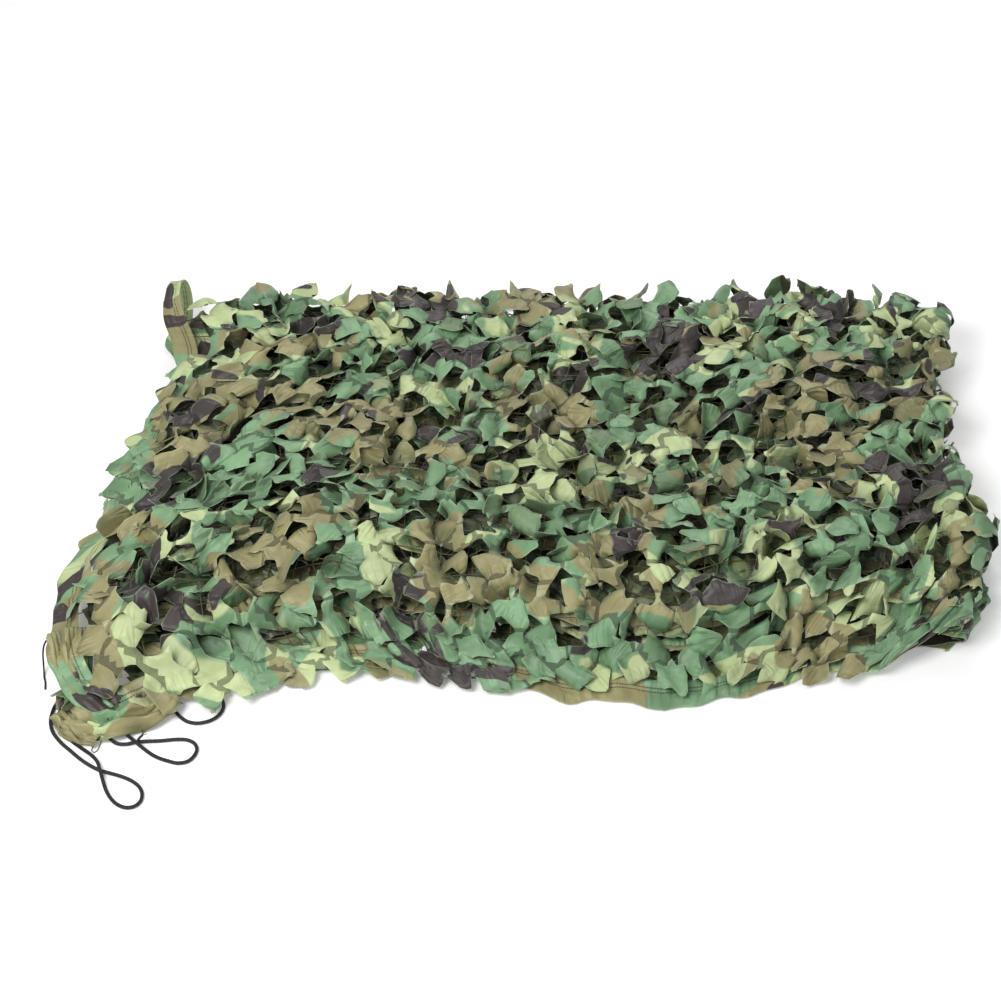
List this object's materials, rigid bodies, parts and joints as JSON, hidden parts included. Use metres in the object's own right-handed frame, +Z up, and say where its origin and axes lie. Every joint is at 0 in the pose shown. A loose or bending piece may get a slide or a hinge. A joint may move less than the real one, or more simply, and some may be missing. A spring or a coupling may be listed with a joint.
{
  "type": "folded camouflage net",
  "caption": "Woodland camouflage net of slit leaf cloth on string mesh, with sewn border strips and corner cord loops, folded in four as a loose rectangular pile.",
  "frame": {"origin": "centre of the folded pile's footprint, without its cords, on the surface it lies on", "axes": "+X along the folded length, towards the closed right fold; +Y away from the open front edge, towards the closed far fold; +Z up, out of the surface"},
  "size_m": [1.5815, 1.1942, 0.1171],
  "materials": {
    "garnish_cloth": "printed woven polyester in woodland blotches, faint satin sheen",
    "border_cloth": "printed woven polyester, folded and double stitched",
    "black_cord": "matt braided black cord"
  },
  "bodies": {
    "root": {"netting": "garnish_cloth", "border_long_lower": "border_cloth", "border_long_upper": "border_cloth", "border_short_outer": "border_cloth", "border_short_inner": "border_cloth", "cord_loop_a": "black_cord", "cord_loop_b": "black_cord", "cord_loop_c": "black_cord", "cord_tie": "black_cord"}
  },
  "joints": []
}
